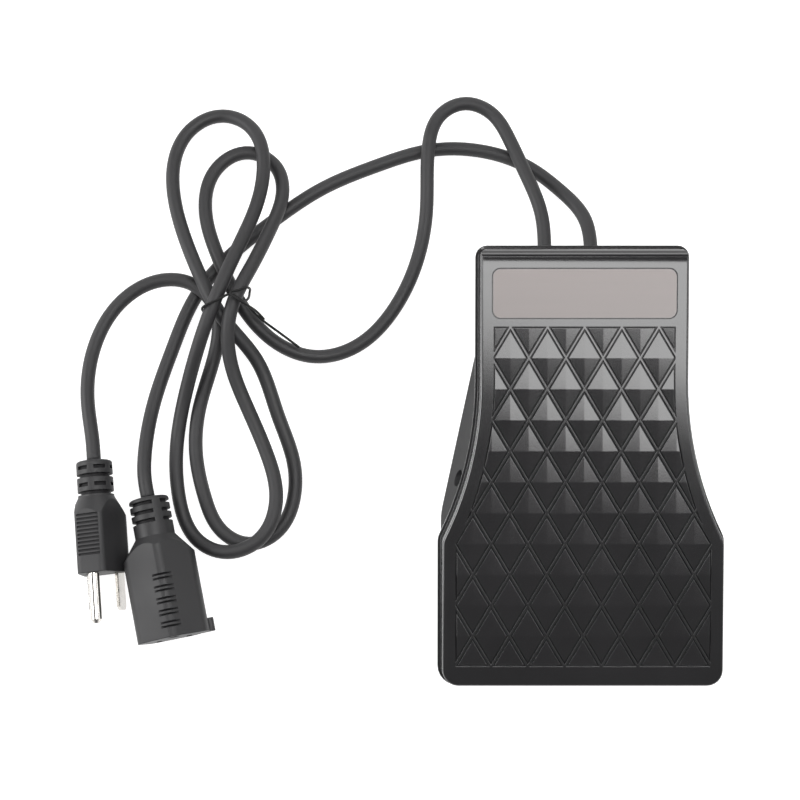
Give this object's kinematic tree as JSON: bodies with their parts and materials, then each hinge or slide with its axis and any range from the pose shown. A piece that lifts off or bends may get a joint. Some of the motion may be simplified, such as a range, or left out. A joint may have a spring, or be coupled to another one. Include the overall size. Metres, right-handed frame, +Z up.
{
  "type": "flex shaft foot pedal",
  "caption": "Foot pedal speed control: waisted treaded plate hinged on a sloped tray, return springs, a toothed sector that turns a potentiometer, mains leads with plug and socket.",
  "frame": {"origin": "on the floor under the middle of the pedal's box, measured without the leads, their sleeves, the tie, the plug and the socket", "axes": "+X to the right, +Y from the wide front end to the narrow rear end where the leads leave, +Z up"},
  "size_m": [0.271, 0.2567, 0.0612],
  "materials": {
    "tray_plastic": "moulded grey black with a fine grain",
    "plate_plastic": "moulded black, satin, slightly worn on the tread",
    "label_metal": "pale warm satin, bare",
    "rubber": "matt black",
    "zinc_steel": "zinc plated",
    "bright_steel": "ground bright",
    "gear_plastic": "natural acetal",
    "pot_shell": "pressed shell",
    "board_green": "solder resist",
    "black_resin": "moulded resin",
    "sink_aluminium": "extruded",
    "capacitor_red": "dipped",
    "copper_wire": "enamelled wire",
    "fuse_glass": "clear with plated ends",
    "brass": "bright",
    "block_green": "moulded",
    "cord_rubber": "soft satin black",
    "plug_rubber": "soft satin black",
    "tie_plastic": "coated wire",
    "nickel": "nickel plated"
  },
  "bodies": {
    "base": {"base_tray": "tray_plastic", "tray_posts": "tray_plastic", "foot_front_left": "rubber", "foot_front_right": "rubber", "foot_rear_left": "rubber", "foot_rear_right": "rubber", "foot_screws": "zinc_steel", "hinge_pin": "bright_steel", "hinge_clips": "zinc_steel", "return_spring_left": "bright_steel", "return_spring_right": "bright_steel", "rest_stop_left": "rubber", "rest_stop_right": "rubber", "press_stop_left": "rubber", "press_stop_right": "rubber", "pot_body": "pot_shell", "pot_nut": "zinc_steel", "pot_bracket": "zinc_steel", "bracket_screws": "zinc_steel", "circuit_board": "board_green", "board_screws": "zinc_steel", "triac": "black_resin", "heat_sink": "sink_aluminium", "capacitor": "capacitor_red", "choke": "copper_wire", "fuse": "fuse_glass", "fuse_clips": "brass", "terminal_block": "block_green", "plug_sleeve": "cord_rubber", "socket_sleeve": "cord_rubber", "cord_clamp": "tray_plastic", "clamp_screws": "zinc_steel", "plug_cord": "cord_rubber", "socket_cord": "cord_rubber", "cord_tie": "tie_plastic", "plug_body": "plug_rubber", "plug_ground_pin": "nickel", "plug_blade_left": "nickel", "plug_blade_right": "nickel", "socket_body": "plug_rubber", "socket_contacts": "brass"},
    "pedal": {"pedal_plate": "plate_plastic", "label_plate": "label_metal", "drive_sector": "gear_plastic", "sector_screws": "zinc_steel"},
    "pot_rotor": {"pinion": "gear_plastic", "pot_shaft": "bright_steel"}
  },
  "joints": [
    {"name": "pedal_hinge", "type": "hinge", "parent": "base", "child": "pedal", "pos_m": [0, -0.00233, 0.014], "axis": [-1, 0, 0], "range_deg": [0, 10], "stiffness_Nm_per_rad": 8, "springref_deg": -6.88, "deforming": ["return_spring_left", "return_spring_right"]},
    {"name": "pot_turn", "type": "hinge", "parent": "base", "child": "pot_rotor", "pos_m": [0, 0.04508, 0.02151], "axis": [1, 0, 0], "range_deg": [0, 70]}
  ],
  "couplings": [
    {"joint": "pot_turn", "follows": "pedal_hinge", "ratio": 7}
  ]
}
